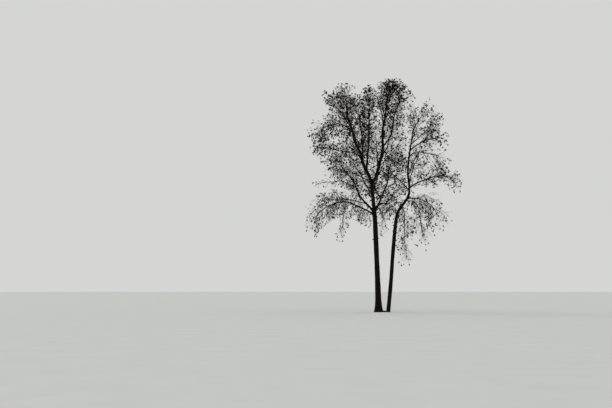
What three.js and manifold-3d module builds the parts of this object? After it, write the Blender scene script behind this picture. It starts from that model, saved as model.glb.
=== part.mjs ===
// A tall dead tree. Two slender stems rise from one foot and share an open crown of twigs and dead leaves.
// Millimetres, +Z up. The origin is the middle of the larger stem's flat foot, at ground level.
// The crown's long side lies along X, and -Y is the side it is seen from. The larger stem is the left one.

import * as THREE from "three";
import Module from "manifold-3d";

const wasm = await Module();
wasm.setup();

// Driving dimensions. Lengths along the tree are written in metres, and angles in degrees.
const METRE = 1000;
const DEGREE = Math.PI / 180;
const CLEARANCE = 0.3; // between two pieces that meet
const FINEST = 0.05; // edges shorter than this are closed up
const TWIG_CLEARANCE = 12; // between a twig and a limb that it passes
const SPACE_CLEARANCE = 0.03; // between two masses of twigs, as a share of their reach

const BARK = { color: 0x2b2723, roughness: 0.95, metalness: 0 };
const TWIG_BARK = { color: 0x2e2925, roughness: 0.9, metalness: 0 };

// The two stems: the route of each centre line in metres, its radius at some heights, and its root flare.
const STEMS = {
  left_stem: {
    route: [
      [0, 0, 0],
      [-0.03, 0, 1.8],
      [-0.12, 0.05, 4.7],
      [-0.21, 0.1, 7.2],
      [-0.34, 0.15, 8.75],
      [-0.43, 0.2, 10.05],
    ],
    girth: [
      [0, 0.27],
      [0.5, 0.235],
      [1.4, 0.212],
      [4, 0.188],
      [7.3, 0.175],
      [8.3, 0.14],
      [9.85, 0.132],
      [10.05, 0.07],
    ],
    flare: { out: 0.12, height: 0.4, ridges: 5, turn: 6 },
    sides: 16,
  },
  right_stem: {
    route: [
      [0.75, 0.1, 0],
      [0.99, 0.1, 2.45],
      [1.16, 0.1, 4.6],
      [1.42, 0.1, 7],
      [1.66, 0.1, 7.8],
      [2.36, 0.1, 8.8],
      [2.46, 0.1, 9.7],
      [2.37, 0.1, 10.7],
      [2.49, 0.1, 12],
      [2.83, 0.1, 14.1],
    ],
    girth: [
      [0, 0.148],
      [0.9, 0.147],
      [2.4, 0.146],
      [4, 0.144],
      [5.5, 0.139],
      [7, 0.128],
      [8.3, 0.106],
      [9.3, 0.085],
      [12, 0.068],
      [14.1, 0.042],
    ],
    flare: { out: 0.035, height: 0.3, ridges: 4, turn: 35 },
    sides: 12,
  },
};
const STEM_STEP = 0.75 * METRE; // between two rings of a stem
const ROOT_RINGS = [0.12, 0.3]; // heights of the rings that the root flare adds near the ground

// A stem's section is a little oval and turns as it rises, and its girth wavers.
const OVAL = { share: 0.03, turn: 0.7 * METRE };
const WAVER = { share: 0.02, length: 0.23 * METRE };

// A low ridge of wood joins the two feet at the ground, for both stems rise from one root.
const JOINING_ROOT = { from: [0.1, 0.02, 0], to: [0.74, 0.1, 0], thick: [0.15, 0.07], sides: 12 };

// Stubs of lost branches: where each sits on its stem, the way it faces, and how far it stands out.
const STUBS = [
  { on: "left_stem", at: 5.45, faces: 172, out: 0.1, thick: 0.045 },
  { on: "left_stem", at: 5.55, faces: -11, out: 0.05, thick: 0.05 },
  { on: "right_stem", at: 5.4, faces: -6, out: 0.13, thick: 0.04 },
  { on: "right_stem", at: 4.65, faces: 11, out: 0.05, thick: 0.04 },
];
const STUB_SIDES = 7;
const STUB_RISE = 0.35; // its slope

// A stub's rings: how far out each sits, in radii of the stem and in lengths of the stub, and its width.
const STUB_RINGS = [
  { stem: 0, stub: 0, wide: 1.3 },
  { stem: 0.9, stub: 0, wide: 1.2 },
  { stem: 1, stub: 0.7, wide: 0.85 },
  { stem: 1, stub: 1, wide: 0.45 },
];

// The limbs. Each leaves a stem, or a limb listed before it, at a height and grows for a length. It points
// the way that its headings (from +X, towards +Y) and its pitches (above level) give, spread evenly from
// foot to tip. Then come its radius, the share of its length that carries no twigs, how far its twigs
// stand from it, and how they grow, from -1 where they hang to 1 where they climb. A bough is bare for
// long enough to be its own solid.
const BOUGH = true;
const LIMBS = [
  // the left side of the larger stem, from the lowest
  limbPlan("arching_left", "left_stem", 7.4, 5.8, [-160, -158], [38, 0, -68], 0.066, 0.15, 1.2, -1, BOUGH),
  limbPlan("hanging_left", "arching_left", 8.2, 2.7, [-140, -160], [-10, -80, -85], 0.028, 0.1, 0.7, -0.3),
  limbPlan("rising_left", "left_stem", 7.58, 5.4, [156, 153], [40, 66, 30], 0.078, 0.3, 1.1, 0.1, BOUGH),
  limbPlan("upper_arching_left", "rising_left", 8.3, 3.6, [172, 150], [14, 0], 0.034, 0.05, 0.85, 0.1),
  limbPlan("left_spray", "rising_left", 9.6, 3.5, [-135, -180], [23, -19], 0.024, 0.3, 0.5, -0.2),
  limbPlan("side_left", "left_stem", 9.75, 3.9, [-132, -167], [37, -15], 0.045, 0.2, 0.95, -0.4),
  // the left leader and what leaves it
  limbPlan("left_leader", "left_stem", 9.9, 7.2, [-165, -180], [66, 71, 84], 0.13, 0.55, 1.1, 0.3, BOUGH),
  limbPlan("middle_left", "left_leader", 11.9, 3.8, [-138, -170], [10, 4], 0.046, 0.3, 1.1, -0.2, BOUGH),
  limbPlan("far_left", "left_leader", 13.85, 3.2, [140, 175], [46, -34], 0.044, 0.15, 1.1, -0.4),
  limbPlan("upper_left", "left_leader", 14.1, 2.7, [-127, -153], [51, 28], 0.036, 0.15, 1.1, 0.2),
  limbPlan("inner_left", "left_leader", 11.7, 4.9, [78, 121], [60, 77], 0.064, 0.15, 1.1, 0.25, BOUGH),
  limbPlan("middle_leader", "left_leader", 10.85, 5.8, [-72, -94], [71, 88], 0.08, 0.12, 0.8, 0.3, BOUGH),
  limbPlan("upper_back", "left_leader", 12.8, 4.2, [90, 135], [51, 45], 0.04, 0.25, 1.1, 0.2),
  // the right leader and what leaves it
  limbPlan(
    "right_leader", "left_stem", 9.85, 7.65, [-7, 20], [56, 86, 84, 72],
    0.132, 0.47, 1.15, 0.3, BOUGH,
  ),
  limbPlan("right_leader_fork", "right_leader", 13.2, 3.8, [73, 125], [69, 71], 0.06, 0.2, 0.85, 0.3),
  limbPlan(
    "right_shoulder", "right_leader", 12.7, 4.4, [-52, -20], [28, 72, 78, 55],
    0.06, 0.33, 1.05, 0.25, BOUGH,
  ),
  limbPlan("inner_right", "right_leader", 10.9, 3.5, [-93, -108], [17, 85], 0.048, 0.25, 0.95, 0.2),
  limbPlan("front_right", "right_leader", 11.5, 4.2, [-77, -73], [20, 60], 0.048, 0.35, 1.2, 0.2, BOUGH),
  limbPlan("between_leaders", "right_leader", 11.2, 2.8, [-25, 10], [38, 58], 0.036, 0.2, 1.0, 0.1),
  // the right side of the larger stem
  limbPlan("low_right", "left_stem", 7.62, 4.2, [-40, -60], [66, 52, 76, 84], 0.084, 0.4, 1.0, 0.1, BOUGH),
  limbPlan("low_right_side", "low_right", 8.25, 3.0, [56, 43], [3, 54], 0.034, 0.1, 1.15, -0.3),
  limbPlan("front_inner", "low_right", 8.6, 3.3, [-122, -124], [33, 52], 0.046, 0.15, 1.1, 0),
  // boughs that lead away from the viewer, and towards them
  limbPlan("back_left", "left_stem", 8.65, 5.3, [105, 140], [39, 61], 0.058, 0.2, 1.3, 0.1, BOUGH),
  limbPlan("back_right", "left_stem", 9.3, 5.2, [66, 55], [39, 61], 0.056, 0.38, 1.3, 0.1, BOUGH),
  limbPlan("front_left", "left_stem", 9.4, 5.1, [-103, -140], [36, 47], 0.054, 0.38, 1.3, 0.1, BOUGH),
  // the smaller stem, from the lowest
  limbPlan("hanging_inner", "right_stem", 8.3, 3.5, [110, 178], [30, -45, -85], 0.03, 0.1, 0.9, -0.3),
  limbPlan("hanging_right", "right_stem", 8.05, 4.6, [-85, -95], [-10, -88, -88], 0.034, 0.08, 0.9, -0.3),
  limbPlan("drooping_right", "right_stem", 8.5, 3.7, [25, 60], [10, -75, -85], 0.034, 0.1, 1.1, -0.3),
  limbPlan(
    "arching_right", "right_stem", 8.68, 3.3, [-45, -8], [12, -35, -62],
    0.042, 0.15, 1.2, -0.8, BOUGH,
  ),
  limbPlan("long_right", "right_stem", 9.5, 3.95, [11, 2], [44, -20], 0.056, 0.12, 0.95, 0.15, BOUGH),
  limbPlan("middle_right", "right_stem", 11.9, 3.2, [-76, 0], [28, -47], 0.036, 0.2, 1.0, -0.5),
  limbPlan("upper_right", "right_stem", 12.4, 3.5, [26, 13], [30, 55], 0.046, 0.42, 1.0, 0.15, BOUGH),
  limbPlan("upper_right_inner", "right_stem", 12.9, 2.9, [-25, 10], [30, 62], 0.036, 0.2, 0.9, 0.2),
  limbPlan("upper_right_side", "upper_right", 12.8, 2.2, [-27, -27], [33, -8], 0.026, 0.2, 0.75, 0.1),
  limbPlan("right_top", "right_stem", 14.05, 1.9, [18, 18], [69, 48], 0.042, 0, 0.95, 0.25),
  limbPlan("right_top_front", "right_stem", 13.2, 2.8, [-67, -152], [26, 77], 0.034, 0.15, 0.85, 0.25),
  limbPlan("inner_low", "right_stem", 9.35, 2.7, [165, 190], [38, 50], 0.036, 0.1, 1.2, 0.1),
  limbPlan("inner_back", "right_stem", 11.2, 2.7, [130, 119], [9, 36], 0.034, 0.1, 1.2, 0),
  limbPlan("back_of_right", "right_stem", 9.7, 4.5, [78, 52], [38, 53], 0.046, 0.25, 1.2, 0.1, BOUGH),
  limbPlan("front_of_right", "right_stem", 10.2, 3.8, [-97, -50], [20, 51], 0.046, 0.25, 1.2, 0.1, BOUGH),
];

function limbPlan(name, on, at, length, headings, pitches, thick, bare, reach, rise, bough = false) {
  return {
    ...{ name, on, headings, pitches, bare, rise, bough },
    ...{ at: at * METRE, length: length * METRE, thick: thick * METRE, reach: reach * METRE },
  };
}

const LIMB_STEP = 0.62 * METRE; // between two rings of a limb
const BOUGH_SIDES = 8;
const LIMB_SIDES = 4; // of a limb where it carries twigs
const LIMB_TIP = 0.016 * METRE; // radius of a limb's last ring, before its point
const TAPER = 0.6; // of a limb, where less than 1 keeps its girth for longer

// A limb swings from its smooth line to the sides, and more often up and down.
const CROOK = { angle: 7, length: 1.1 * METRE, oftener: 1.3 };

// A limb swells where it leaves what carries it, if that is thicker by a share. The swelling and its
// length are in radii of the limb.
const COLLAR = { swell: 0.4, length: 2, thicker: 1.1 };

// Shoots leave a limb. Their length is a share of the limb's reach, from the least to the most, and their
// lean goes from that at the limb's foot to that at its tip.
const SHOOT = { radius: 0.019 * METRE, thinner: 0.5, length: [1.12, 1.4], lean: [63, 30] };
const SHORTEST = 0.3; // of a shoot, as a share of the limb's reach
const SHORTENING = 0.85; // of a shoot that leaves the limb's space

// Side twigs leave a shoot at these shares of it, shifted a little. Their length is a share of the
// shoot's, from that at its foot to that at its tip, and varies.
const SIDE_TWIG = { radius: 0.011 * METRE, thinner: 0.55, length: [0.66, 0.275], vary: [0.8, 1.2], lean: 45 };
const ALONG_SHOOT = [0.3, 0.62];
const SHIFT = 0.12;

// A spray of withered leaves leaves some of the side twigs, and is widest at a share of its length.
const SPRAY = { length: 0.34 * METRE, width: 0.18 * METRE, thick: 0.022 * METRE, lean: 40, widest: 0.6 };
const SPRAY_SHARE = 0.52; // of the side twigs that still hold one
const ALONG_TWIG = 0.55;

// A twig bends up or down with its limb, by the largest of these shares that still leads it off its face.
const RISE = 1.1;
const BENDS = [1, 0.6, 0.3];
const LEADING_AWAY = 0.3; // least sine of the angle between a twig and its face
const SINK = { radii: 1.1, more: 0.5 }; // how deep a twig's corners sit under its face

// Lines and sections

const UP = new THREE.Vector3(0, 0, 1);
const inMillimetres = ([x, y, z]) => new THREE.Vector3(x, y, z).multiplyScalar(METRE);

// A number from 0 to 1 that depends only on the whole numbers given.
function chance(limbNumber, shoot, twig, use) {
  const wave = Math.sin(limbNumber * 127.1 + shoot * 311.7 + twig * 74.7 + use * 19.19) * 43758.5453;
  return wave - Math.floor(wave);
}

// The value at a share from 0 to 1 of a row of values that are spread evenly.
function spread(values, share) {
  const at = Math.min(Math.max(share, 0), 1) * (values.length - 1);
  const i = Math.min(Math.floor(at), values.length - 2);
  return values[i] + (values[i + 1] - values[i]) * (at - i);
}

// The value at x of a table of pairs in rising order.
function between(table, x) {
  const i = Math.max(1, table.findIndex(([end]) => x <= end));
  const [[x0, y0], [x1, y1]] = x > table.at(-1)[0] ? table.slice(-2) : table.slice(i - 1, i + 1);
  return y0 + (y1 - y0) * Math.min(1, Math.max(0, (x - x0) / (x1 - x0)));
}

// Places along a centre line with the direction there, and a side that turns no more than the line does.
function withDirections(places) {
  let side = new THREE.Vector3(1, 0, 0);
  return places.map((place, i) => {
    const ahead = places[Math.min(i + 1, places.length - 1)];
    const direction = ahead.clone().sub(places[Math.max(i - 1, 0)]).normalize();
    side = side.clone().addScaledVector(direction, -side.dot(direction)).normalize();
    return { place, direction, side };
  });
}

// The station at a share of a row of evenly spaced stations.
function stationAt(stations, share) {
  const last = stations.length - 1;
  const at = Math.min(Math.max(share, 0), 1) * last;
  const i = Math.min(Math.floor(at), last - 1);
  const [a, b] = [stations[i], stations[i + 1]];
  return {
    place: a.place.clone().lerp(b.place, at - i),
    direction: a.direction.clone().lerp(b.direction, at - i).normalize(),
    side: a.side.clone().lerp(b.side, at - i).normalize(),
  };
}

function shareAtHeight(stations, height) {
  for (let i = 0; i < stations.length - 1; i++) {
    const [z0, z1] = [stations[i].place.z, stations[i + 1].place.z];
    if (height <= z1) return (i + Math.max(0, (height - z0) / (z1 - z0))) / (stations.length - 1);
  }
  return 1;
}

function cornerAt({ place, direction, side }, [x, y]) {
  const other = direction.clone().cross(side);
  return place.clone().addScaledVector(side, x).addScaledVector(other, y);
}

const circleCorner = (radius, angle) => [radius * Math.cos(angle), radius * Math.sin(angle)];

// The corners of a ring round a station, whose radius may depend on the angle.
function ringAt(station, sides, radiusTowards) {
  return Array.from({ length: sides }, (_, k) => {
    const angle = (2 * Math.PI * k) / sides;
    return cornerAt(station, circleCorner(radiusTowards(angle), angle));
  });
}

// Solids

function solidFrom(corners, index) {
  return new wasm.Manifold(
    new wasm.Mesh({
      numProp: 3,
      vertProperties: new Float32Array(corners.flatMap((corner) => [...corner])),
      triVerts: new Uint32Array(index),
    }),
  );
}

// A closed body through rings of as many corners each, which ends in a point where one is given.
function lofted(rings, point) {
  const sides = rings[0].length;
  const corners = rings.flat();
  const top = corners.length - sides;
  const index = [];
  for (let i = 0; i < rings.length - 1; i++)
    for (let k = 0; k < sides; k++) {
      const next = (k + 1) % sides;
      const [a, b] = [i * sides + k, i * sides + next];
      index.push(a, b, b + sides, a, b + sides, a + sides);
    }
  for (let k = 1; k < sides - 1; k++) index.push(0, k + 1, k);
  if (!point) {
    for (let k = 1; k < sides - 1; k++) index.push(top, top + k, top + k + 1);
    return solidFrom(corners, index);
  }
  for (let k = 0; k < sides; k++) index.push(top + k, top + ((k + 1) % sides), corners.length);
  return solidFrom([...corners, point], index);
}

// The same row of stations with its two ends moved outwards.
function lengthened(stations, room) {
  const [first, last] = [stations[0], stations.at(-1)];
  return [
    { ...first, place: first.place.clone().addScaledVector(first.direction, -room) },
    ...stations.slice(1, -1),
    { ...last, place: last.place.clone().addScaledVector(last.direction, room) },
  ];
}

function meshOf(name, solid, finish) {
  const { vertProperties, triVerts } = solid.getMesh();
  const geometry = new THREE.BufferGeometry();
  geometry.setAttribute("position", new THREE.BufferAttribute(new Float32Array(vertProperties), 3));
  geometry.setIndex(new THREE.BufferAttribute(new Uint32Array(triVerts), 1));
  geometry.computeVertexNormals();
  const mesh = new THREE.Mesh(geometry, new THREE.MeshStandardMaterial(finish));
  mesh.name = name;
  return mesh;
}

function largestPiece(solid) {
  return solid.decompose().reduce((a, b) => (b.volume() > a.volume() ? b : a));
}

function boxOf(solid) {
  const { min, max } = solid.boundingBox();
  return new THREE.Box3(new THREE.Vector3(...min), new THREE.Vector3(...max));
}

// The stems

// A stem's radius at a height and towards an angle: root ridges swell it near the ground.
function stemRadius({ girth, flare }, height, angle) {
  const foot = Math.exp(-height / (flare.height * METRE));
  const ridge = 0.5 + 0.5 * Math.cos(flare.ridges * (angle - flare.turn * DEGREE));
  const oval = OVAL.share * Math.sin(2 * angle + height / OVAL.turn);
  const waver = WAVER.share * Math.sin(height / WAVER.length);
  return METRE * (between(girth, height / METRE) * (1 + oval + waver) + flare.out * foot * ridge);
}

function stemStations({ route }) {
  const curve = new THREE.CatmullRomCurve3(route.map(inMillimetres), false, "catmullrom", 0.5);
  const count = Math.round(curve.getLength() / STEM_STEP);
  const stations = withDirections(curve.getSpacedPoints(count));
  // the foot is cut level
  stations[0].direction.copy(UP);
  stations[0].side.set(1, 0, 0);
  return stations;
}

function growStem(name) {
  const stem = STEMS[name];
  const stations = stemStations(stem);
  const flareRings = ROOT_RINGS.map((height) => stationAt(stations, shareAtHeight(stations, height * METRE)));
  const all = [stations[0], ...flareRings, ...stations.slice(1)];
  const body = (room) =>
    lofted(
      lengthened(all, room).map((station) =>
        ringAt(station, stem.sides, (angle) => stemRadius(stem, station.place.z, angle) + room),
      ),
    );
  const radiusAt = (share) => METRE * between(stem.girth, stationAt(stations, share).place.z / METRE);
  return { name, stations, radiusAt, body };
}

function stubOn(stem, { at, faces, out, thick }) {
  const { place } = stationAt(stem.stations, shareAtHeight(stem.stations, at * METRE));
  const direction = new THREE.Vector3(...circleCorner(1, faces * DEGREE), STUB_RISE).normalize();
  const side = direction.clone().cross(UP).normalize();
  const girth = between(STEMS[stem.name].girth, at);
  const rings = STUB_RINGS.map((ring) => {
    const outwards = (ring.stem * girth + ring.stub * out) * METRE;
    const station = { place: place.clone().addScaledVector(direction, outwards), direction, side };
    return ringAt(station, STUB_SIDES, () => ring.wide * thick * METRE);
  });
  return lofted(rings);
}

// The ridge between the two feet, cut level with the ground.
function joiningRoot() {
  const { from, to, thick, sides } = JOINING_ROOT;
  const stations = withDirections([inMillimetres(from), inMillimetres(to)]);
  const whole = lofted(stations.map((station, i) => ringAt(station, sides, () => thick[i] * METRE)));
  return whole.trimByPlane([0, 0, 1], 0);
}

// The limbs

function growLimb(plan, carrier, number) {
  const { length, headings, pitches } = plan;
  const steps = Math.round(length / LIMB_STEP);
  const share = shareAtHeight(carrier.stations, plan.at);
  const places = [stationAt(carrier.stations, share).place];
  for (let i = 0; i < steps; i++) {
    const along = (i + 0.5) / steps;
    const swing = (2 * Math.PI * along * length) / CROOK.length + number;
    const heading = (spread(headings, along) + CROOK.angle * Math.sin(swing)) * DEGREE;
    const pitch = (spread(pitches, along) + CROOK.angle * Math.cos(CROOK.oftener * swing)) * DEGREE;
    const step = new THREE.Vector3(...circleCorner(Math.cos(pitch), heading), Math.sin(pitch));
    places.push(places.at(-1).clone().addScaledVector(step, length / steps));
  }
  const firstTwigged = Math.round(plan.bare * steps);
  const buried = carrier.radiusAt(share);
  const radiusAt = (at) => limbRadius(plan, at, buried);
  return { ...plan, number, stations: withDirections(places), firstTwigged, radiusAt };
}

// A limb's radius, with the collar where it leaves what carries it.
function limbRadius({ length, thick }, share, buried) {
  const outside = Math.max(0, share * length - buried);
  const swell = buried > COLLAR.thicker * thick ? COLLAR.swell : 0;
  const collar = swell * Math.exp(-outside / (COLLAR.length * thick));
  return LIMB_TIP + (thick - LIMB_TIP) * (1 - share) ** TAPER + thick * collar;
}

// A limb's rings from one of its stations to another, with some room added all round, and its tip if
// reached.
function limbRings(limb, from, to, sides, room) {
  const last = limb.stations.length - 1;
  const stations = lengthened(limb.stations.slice(from, to + 1), room);
  const tip = to === last ? stations.pop().place : null;
  const radii = stations.map((_, i) => limb.radiusAt((from + i) / last) + room);
  const rings = stations.map((station, i) => ringAt(station, sides, () => radii[i]));
  return { rings, tip };
}

function limbBody(limb, from, to, sides, room) {
  const { rings, tip } = limbRings(limb, from, to, sides, room);
  return lofted(rings, tip);
}

// The twigs

// The least distance from a point to a limb from one of its stations on, and the share where it is least.
function nearest({ stations }, point, from) {
  const last = stations.length - 1;
  const step = new THREE.Vector3();
  const gap = new THREE.Vector3();
  let found = { distance: Infinity, share: 0 };
  for (let i = from; i < last; i++) {
    const [a, b] = [stations[i].place, stations[i + 1].place];
    step.subVectors(b, a);
    const t = Math.min(1, Math.max(0, gap.subVectors(point, a).dot(step) / step.lengthSq()));
    const distance = gap.copy(a).addScaledVector(step, t).distanceTo(point);
    if (distance < found.distance) found = { distance, share: (i + t) / last };
  }
  return found;
}

// Whether a point is in a limb's own space: within its reach, nearer to it than to the twigs of any other
// limb as a share of their reaches, and clear of every other limb and stem.
function inOwnSpace(limb, point, limbs, stems) {
  const own = nearest(limb, point, limb.firstTwigged).distance / limb.reach;
  if (own > 1) return false;
  return [...limbs, ...stems].every((other) => {
    if (other === limb) return true;
    if (other.reach) {
      const theirs = nearest(other, point, other.firstTwigged).distance / other.reach;
      if (theirs < own + SPACE_CLEARANCE) return false;
    }
    const { distance, share } = nearest(other, point, 0);
    return distance > other.radiusAt(share) + TWIG_CLEARANCE;
  });
}

// A place on a face, given by the share of each of its corners, and the way that the face looks.
function spotOn(face, shares) {
  const [a, b, c] = face;
  const place = new THREE.Vector3();
  face.forEach((corner, i) => place.addScaledVector(corner, shares[i]));
  const outwards = b.clone().sub(a).cross(c.clone().sub(a)).normalize();
  return { place, outwards };
}

// The way that a twig grows from a spot: it leans out from what carries it, and hangs or rises with its
// limb.
function headingFrom({ outwards }, along, lean, rise) {
  const level = along.clone().multiplyScalar(Math.cos(lean)).addScaledVector(outwards, Math.sin(lean));
  const bent = BENDS.map((bend) => level.clone().addScaledVector(UP, bend * RISE * rise).normalize());
  return bent.find((heading) => heading.dot(outwards) > LEADING_AWAY) ?? level;
}

// A three-sided twig that tapers to a point. Its foot is sunk until its corners are under the face that it
// leaves.
function twigFrom({ place, outwards }, heading, radius, length) {
  const slope = heading.dot(outwards);
  const sunk = (SINK.radii * radius * Math.sqrt(1 - slope * slope) + SINK.more) / slope;
  const foot = place.clone().addScaledVector(heading, -sunk);
  const tip = place.clone().addScaledVector(heading, length);
  const side = heading.clone().cross(outwards).normalize();
  const ring = ringAt({ place: foot, direction: heading, side }, 3, () => radius);
  return { ring, foot, tip, heading, length, radius, body: () => lofted([ring], tip) };
}

const alongTwig = ({ foot, tip }, shares) => shares.map((share) => foot.clone().lerp(tip, share));

function spotOnTwig({ ring, tip }, facet, share) {
  const face = [ring[facet % 3], ring[(facet + 1) % 3], tip];
  return spotOn(face, [(1 - share) / 2, (1 - share) / 2, share]);
}

// A spray of withered leaves as one kite with a keel, whose foot is sunk into its twig.
function sprayFrom({ place, outwards }, heading, sunk, turn) {
  const { length, width, thick, widest } = SPRAY;
  const foot = place.clone().addScaledVector(heading, -sunk);
  const tip = place.clone().addScaledVector(heading, length);
  const side = heading.clone().cross(outwards).normalize().applyAxisAngle(heading, turn);
  const middle = { place: place.clone().addScaledVector(heading, widest * length), direction: heading, side };
  const [left, right, keel] = [
    [width / 2, 0],
    [-width / 2, 0],
    [0, -thick],
  ].map((corner) => cornerAt(middle, corner));
  const index = [0, 2, 1, 0, 3, 2, 0, 1, 3, 4, 1, 2, 4, 2, 3, 4, 3, 1];
  return { outline: [left, right, keel, tip], body: () => solidFrom([foot, left, right, keel, tip], index) };
}

// For each step and facet of a limb, its two triangles, or its single one where it ends in the tip.
function facetsAlong({ rings, tip }) {
  return rings.map((ring, i) =>
    ring.map((corner, k) => {
      const next = (k + 1) % ring.length;
      const above = rings[i + 1];
      if (!above) return [[corner, ring[next], tip]];
      return [
        [corner, ring[next], above[next]],
        [corner, above[next], above[k]],
      ];
    }),
  );
}

// Two shoots leave each step of a limb, from a facet that looks another way than the last one's.
function growTwigs(limb, from, limbs, stems) {
  const last = limb.stations.length - 1;
  const facets = facetsAlong(limbRings(limb, from, last, LIMB_SIDES, 0));
  const free = (points) => points.every((point) => inOwnSpace(limb, point, limbs, stems));
  const count = 2 * (last - limb.firstTwigged);
  const bodies = [];
  for (let k = 0; k < count; k++) {
    const half = k % 2;
    const step = limb.firstTwigged + (k - half) / 2;
    const facet = (3 * k + Math.floor(k / 4) + limb.number) % LIMB_SIDES;
    const face = facets[step - from][facet][half];
    if (!face) continue;
    const spot = spotOn(face, [1 / 3, 1 / 3, 1 / 3]);
    spot.share = (step + (1 + half) / 3) / last;
    const shoot = growShoot(limb, k, spot, (k + 1) / count, free);
    if (!shoot) continue;
    bodies.push(shoot.body());
    ALONG_SHOOT.forEach((_, m) => bodies.push(...growSideTwig(limb, k, m, shoot, free)));
  }
  return bodies;
}

// A shoot as long as the limb's space lets it be, or none where that is too short.
function growShoot(limb, k, spot, outer, free) {
  const { direction } = stationAt(limb.stations, spot.share);
  const heading = headingFrom(spot, direction, spread(SHOOT.lean, outer) * DEGREE, limb.rise);
  const radius = Math.min(SHOOT.radius, SHOOT.thinner * limb.radiusAt(spot.share));
  const full = limb.reach * spread(SHOOT.length, chance(limb.number, k, 0, 1));
  for (let length = full; length > SHORTEST * limb.reach; length *= SHORTENING) {
    const shoot = twigFrom(spot, heading, radius, length);
    if (free(alongTwig(shoot, [0.35, 0.7, 1]))) return shoot;
  }
  return null;
}

// The bodies of a shoot's side twig, and of its spray where it still holds one.
function growSideTwig(limb, k, m, shoot, free) {
  const luck = (use) => chance(limb.number, k, m, use);
  const share = ALONG_SHOOT[m] + SHIFT * (luck(2) - 0.5);
  const spot = spotOnTwig(shoot, k + m, share);
  const heading = headingFrom(spot, shoot.heading, SIDE_TWIG.lean * DEGREE, limb.rise / 2);
  const radius = Math.min(SIDE_TWIG.radius, SIDE_TWIG.thinner * shoot.radius * (1 - share));
  const length = shoot.length * spread(SIDE_TWIG.length, share) * spread(SIDE_TWIG.vary, luck(3));
  const twig = twigFrom(spot, heading, radius, length);
  if (!free(alongTwig(twig, [0.5, 1]))) return [];
  if (luck(4) > SPRAY_SHARE) return [twig.body()];
  const seat = spotOnTwig(twig, m, ALONG_TWIG);
  const way = headingFrom(seat, twig.heading, SPRAY.lean * DEGREE, limb.rise / 2);
  const spray = sprayFrom(seat, way, 0.8 * twig.radius * (1 - ALONG_TWIG), 2 * Math.PI * luck(5));
  return free(spray.outline) ? [twig.body(), spray.body()] : [twig.body()];
}

// The tree

function growAllLimbs(stems) {
  const grown = new Map(stems.map((stem) => [stem.name, stem]));
  LIMBS.forEach((plan, i) => grown.set(plan.name, growLimb(plan, grown.get(plan.on), i + 1)));
  return LIMBS.map(({ name }) => grown.get(name));
}

// Each piece that is added leaves a slightly larger copy of itself, and what is added later is cut clear
// of it.
function pieceAdder(tree) {
  const cutters = [];
  const cutClear = (solid) => {
    const around = boxOf(solid);
    const near = cutters.filter(({ box }) => box.intersectsBox(around));
    return largestPiece(near.reduce((left, { larger }) => left.subtract(larger), solid));
  };
  return (name, solid, finish, larger) => {
    const clear = cutClear(solid).asOriginal().simplify(FINEST);
    tree.add(meshOf(name, largestPiece(clear), finish));
    cutters.push({ larger, box: boxOf(larger) });
  };
}

function growTree() {
  const tree = new THREE.Group();
  const add = pieceAdder(tree);
  const stems = Object.keys(STEMS).map(growStem);
  const limbs = growAllLimbs(stems);
  const [, rightStem] = stems;
  for (const stem of stems) {
    const stubs = STUBS.filter(({ on }) => on === stem.name).map((stub) => stubOn(stem, stub));
    const root = stem === rightStem ? [] : [joiningRoot().subtract(rightStem.body(CLEARANCE))];
    add(stem.name, wasm.Manifold.union([stem.body(0), ...root, ...stubs]), BARK, stem.body(CLEARANCE));
  }
  for (const limb of limbs.filter(({ bough }) => bough)) {
    const body = (room) => limbBody(limb, 0, limb.firstTwigged, BOUGH_SIDES, room);
    add(`${limb.name}_bough`, body(0), BARK, body(CLEARANCE));
  }
  for (const limb of limbs) {
    const from = limb.bough ? limb.firstTwigged : 0;
    const body = (room) => limbBody(limb, from, limb.stations.length - 1, LIMB_SIDES, room);
    const whole = wasm.Manifold.union([body(0), ...growTwigs(limb, from, limbs, stems)]);
    add(`${limb.name}_twigs`, whole, TWIG_BARK, body(CLEARANCE));
  }
  return tree;
}

export default growTree();
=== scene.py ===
"""The looks of a tall dead tree: two slender stems rise from one foot into an open crown of twigs.

Metres, in the frame of the solids: +Z up, the origin in the middle of the larger stem's flat foot, the
crown's wide side along X, and -Y the side that the tree is seen from. The larger stem is the left one.
"""

import math
from types import SimpleNamespace

import bpy
import numpy as np
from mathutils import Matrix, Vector, noise


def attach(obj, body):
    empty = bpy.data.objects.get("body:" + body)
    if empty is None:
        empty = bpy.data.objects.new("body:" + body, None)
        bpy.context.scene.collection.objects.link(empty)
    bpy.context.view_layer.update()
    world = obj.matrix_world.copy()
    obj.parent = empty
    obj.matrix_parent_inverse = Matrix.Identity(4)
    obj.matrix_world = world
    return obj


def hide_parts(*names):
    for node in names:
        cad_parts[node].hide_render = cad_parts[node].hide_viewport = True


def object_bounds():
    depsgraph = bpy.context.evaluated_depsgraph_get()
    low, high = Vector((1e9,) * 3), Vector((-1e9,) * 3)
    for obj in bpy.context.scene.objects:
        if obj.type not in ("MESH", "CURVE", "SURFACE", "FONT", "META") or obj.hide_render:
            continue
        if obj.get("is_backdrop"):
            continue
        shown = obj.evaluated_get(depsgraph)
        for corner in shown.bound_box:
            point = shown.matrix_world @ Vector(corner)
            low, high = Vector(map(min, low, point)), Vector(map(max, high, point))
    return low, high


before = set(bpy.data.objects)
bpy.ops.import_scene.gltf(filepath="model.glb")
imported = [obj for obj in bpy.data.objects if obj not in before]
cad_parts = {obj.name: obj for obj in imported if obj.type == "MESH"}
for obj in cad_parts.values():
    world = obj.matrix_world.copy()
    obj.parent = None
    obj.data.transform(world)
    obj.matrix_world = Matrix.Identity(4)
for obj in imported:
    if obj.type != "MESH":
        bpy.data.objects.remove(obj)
SOLID_LOW, SOLID_HIGH = (np.array(corner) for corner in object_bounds())

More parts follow.
